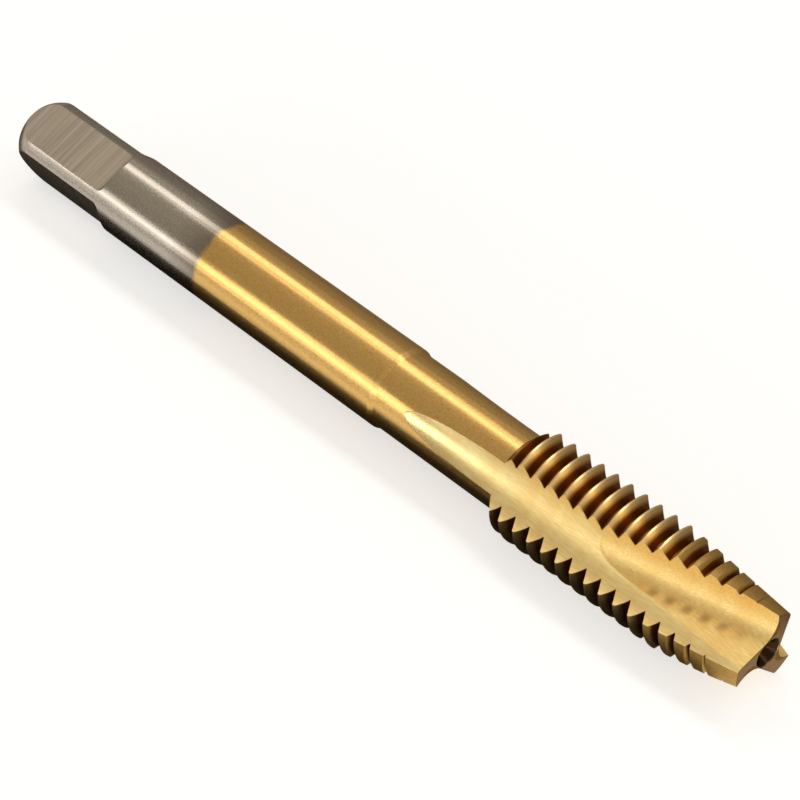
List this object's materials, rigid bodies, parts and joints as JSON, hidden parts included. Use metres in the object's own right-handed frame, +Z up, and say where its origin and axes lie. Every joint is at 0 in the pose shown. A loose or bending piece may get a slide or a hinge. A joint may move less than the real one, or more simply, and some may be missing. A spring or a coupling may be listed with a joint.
{
  "type": "spiral-point thread tap",
  "caption": "Straight-fluted machine tap with a spiral point, tapered lead, right-hand metric thread, necked round shank and driving square; gold-coloured coating on the cutting half.",
  "frame": {"origin": "on the tool's axis, midway along the plain round of the shank, where a holder grips it", "axes": "+X along the axis towards the cutting end; +Z up as the tap rests on a bench with one flute straight down"},
  "size_m": [0.07, 0.008, 0.0074],
  "materials": {
    "coated_steel": "satin ground high-speed steel, gold-coloured titanium nitride coating on the cutting end and bare steel at the driving end"
  },
  "bodies": {
    "root": {"tap_body": "coated_steel"}
  },
  "joints": []
}
